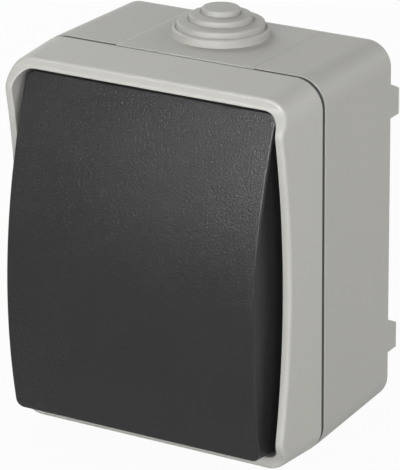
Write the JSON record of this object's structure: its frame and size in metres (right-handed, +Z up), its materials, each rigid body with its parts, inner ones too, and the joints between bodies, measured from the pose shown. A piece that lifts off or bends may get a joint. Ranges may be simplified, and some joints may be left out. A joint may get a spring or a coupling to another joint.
{
  "type": "outdoor weatherproof switch",
  "caption": "Surface-mounted outdoor wall switch: a drafted grey box with a stepped cable grommet on top, a front frame with scooped sides and a wide black convex rocker.",
  "frame": {"origin": "centre of the wall-screw pattern, on the rear face of the box", "axes": "+X to the right seen from the front, +Y from the front towards the wall, +Z up with the cable grommet on top"},
  "size_m": [0.0662, 0.0558, 0.0866],
  "materials": {
    "box_plastic": "fine moulded grain",
    "frame_plastic": "fine moulded grain",
    "grommet_rubber": "matte",
    "rocker_plastic": "spark-eroded grain",
    "seal_rubber": "matte",
    "carrier_plastic": "satin",
    "insert_plastic": "satin",
    "zinc_steel": "zinc plated",
    "spring_steel": "drawn wire",
    "contact_brass": "stamped",
    "contact_silver": "polished"
  },
  "bodies": {
    "housing": {"rear_box": "box_plastic", "cable_grommet": "grommet_rubber", "box_gasket": "seal_rubber", "front_frame": "frame_plastic", "frame_screws": "zinc_steel", "seal_hood": "seal_rubber", "insert_base": "insert_plastic", "support_plate": "zinc_steel", "plate_rivets": "zinc_steel", "support_screws": "zinc_steel", "upper_contact": "contact_brass", "lower_contact": "contact_brass", "common_contact": "contact_brass", "fixed_tips": "contact_silver", "terminal_saddles": "zinc_steel", "terminal_screws": "zinc_steel", "earth_terminal": "contact_brass", "earth_screw": "zinc_steel"},
    "rocker": {"rocker": "rocker_plastic", "rocker_carrier": "carrier_plastic", "plunger_spring": "spring_steel"},
    "plunger": {"plunger": "zinc_steel"},
    "bridge": {"contact_bridge": "contact_brass", "moving_tips": "contact_silver"}
  },
  "joints": [
    {"name": "rocker_tilt", "type": "hinge", "parent": "housing", "child": "rocker", "pos_m": [0, -0.04, 0], "axis": [1, 0, 0], "range_deg": [0, 12.4]},
    {"name": "bridge_tilt", "type": "hinge", "parent": "housing", "child": "bridge", "pos_m": [0, -0.02, 0], "axis": [1, 0, 0], "range_deg": [-18, 0]},
    {"name": "plunger_slide", "type": "slide", "parent": "rocker", "child": "plunger", "axis": [0, -0.9942, 0.108], "range_m": [0, 0.0006], "stiffness_N_per_m": 600, "deforming": ["plunger_spring"]}
  ],
  "couplings": [
    {"joint": "bridge_tilt", "follows": "rocker_tilt", "ratio": -1.4516}
  ]
}
